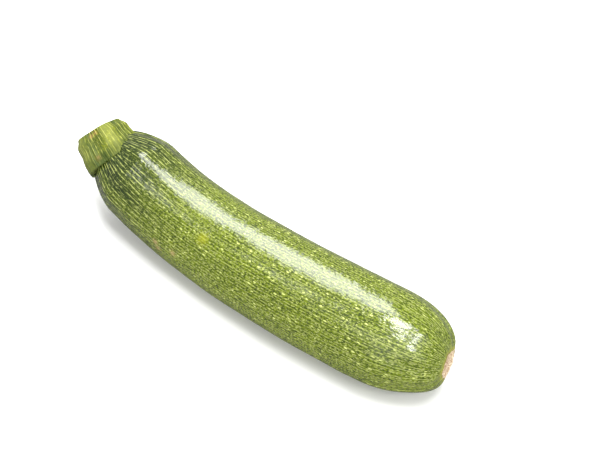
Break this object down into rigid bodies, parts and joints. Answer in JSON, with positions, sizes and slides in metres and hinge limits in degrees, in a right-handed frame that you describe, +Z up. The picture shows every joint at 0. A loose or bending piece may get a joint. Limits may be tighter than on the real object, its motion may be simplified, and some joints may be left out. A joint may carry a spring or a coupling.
{
  "type": "squash",
  "caption": "Green summer squash (zucchini) lying on its side: a long, gently bent, ribbed and pale-flecked fruit with a ridged, cut stem stub and a round blossom scar.",
  "frame": {"origin": "on the surface that the squash lies on, under the middle of its bounding box", "axes": "+X from the stem toward the blossom end, +Z up from the resting surface, +Y toward the hollow side of the bend"},
  "size_m": [0.2004, 0.0472, 0.046],
  "materials": {
    "skin": "waxy plant skin, semi-gloss, mid green with pale flecks",
    "stem": "fibrous green plant stem, satin"
  },
  "bodies": {
    "root": {"fruit": "skin", "stem": "stem"}
  },
  "joints": []
}
